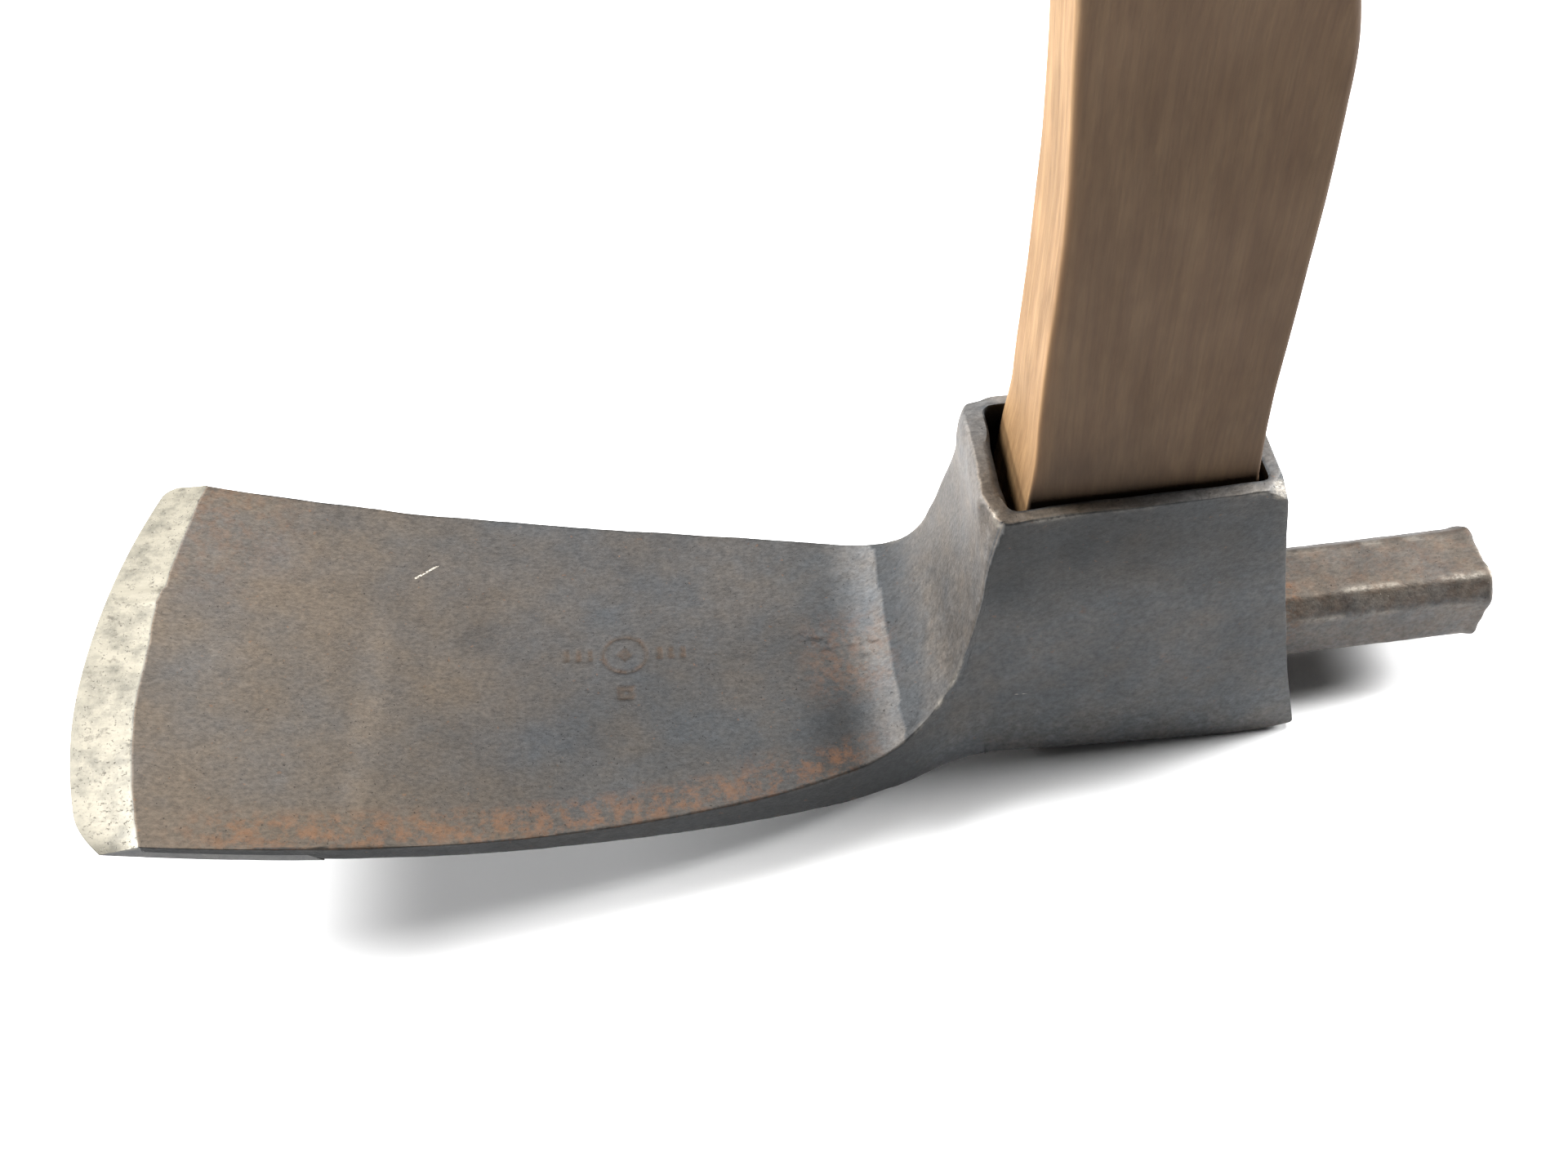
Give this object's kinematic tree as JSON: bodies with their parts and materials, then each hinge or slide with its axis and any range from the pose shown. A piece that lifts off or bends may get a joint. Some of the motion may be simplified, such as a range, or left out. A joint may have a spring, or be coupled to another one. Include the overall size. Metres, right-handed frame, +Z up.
{
  "type": "adze",
  "caption": "Carpenter's adze: a wide curved blade with its edge across the handle, a tall tapered eye, a square peg on the back and a long curved wooden handle.",
  "frame": {"origin": "under the middle of the head's length, level with the lowest point of the eye's outer face", "axes": "+Z up the handle, -X towards the cutting edge, +X along the peg, Y across the blade's width"},
  "size_m": [0.2892, 0.0893, 0.79],
  "materials": {
    "forged_iron": "dark forge-scale patina, worn bright on its arrises",
    "ground_steel": "ground bright on the bevel, with small dark pits",
    "ash_wood": "old oiled ash, dark with handling"
  },
  "bodies": {
    "shaft": {"handle": "ash_wood"},
    "head": {"blade_and_eye": "forged_iron", "steel_bit": "ground_steel", "peg_poll": "forged_iron"}
  },
  "joints": [
    {"name": "head_slide", "type": "slide", "parent": "shaft", "child": "head", "axis": [0, 0, 1], "range_m": [0, 0.08]}
  ]
}
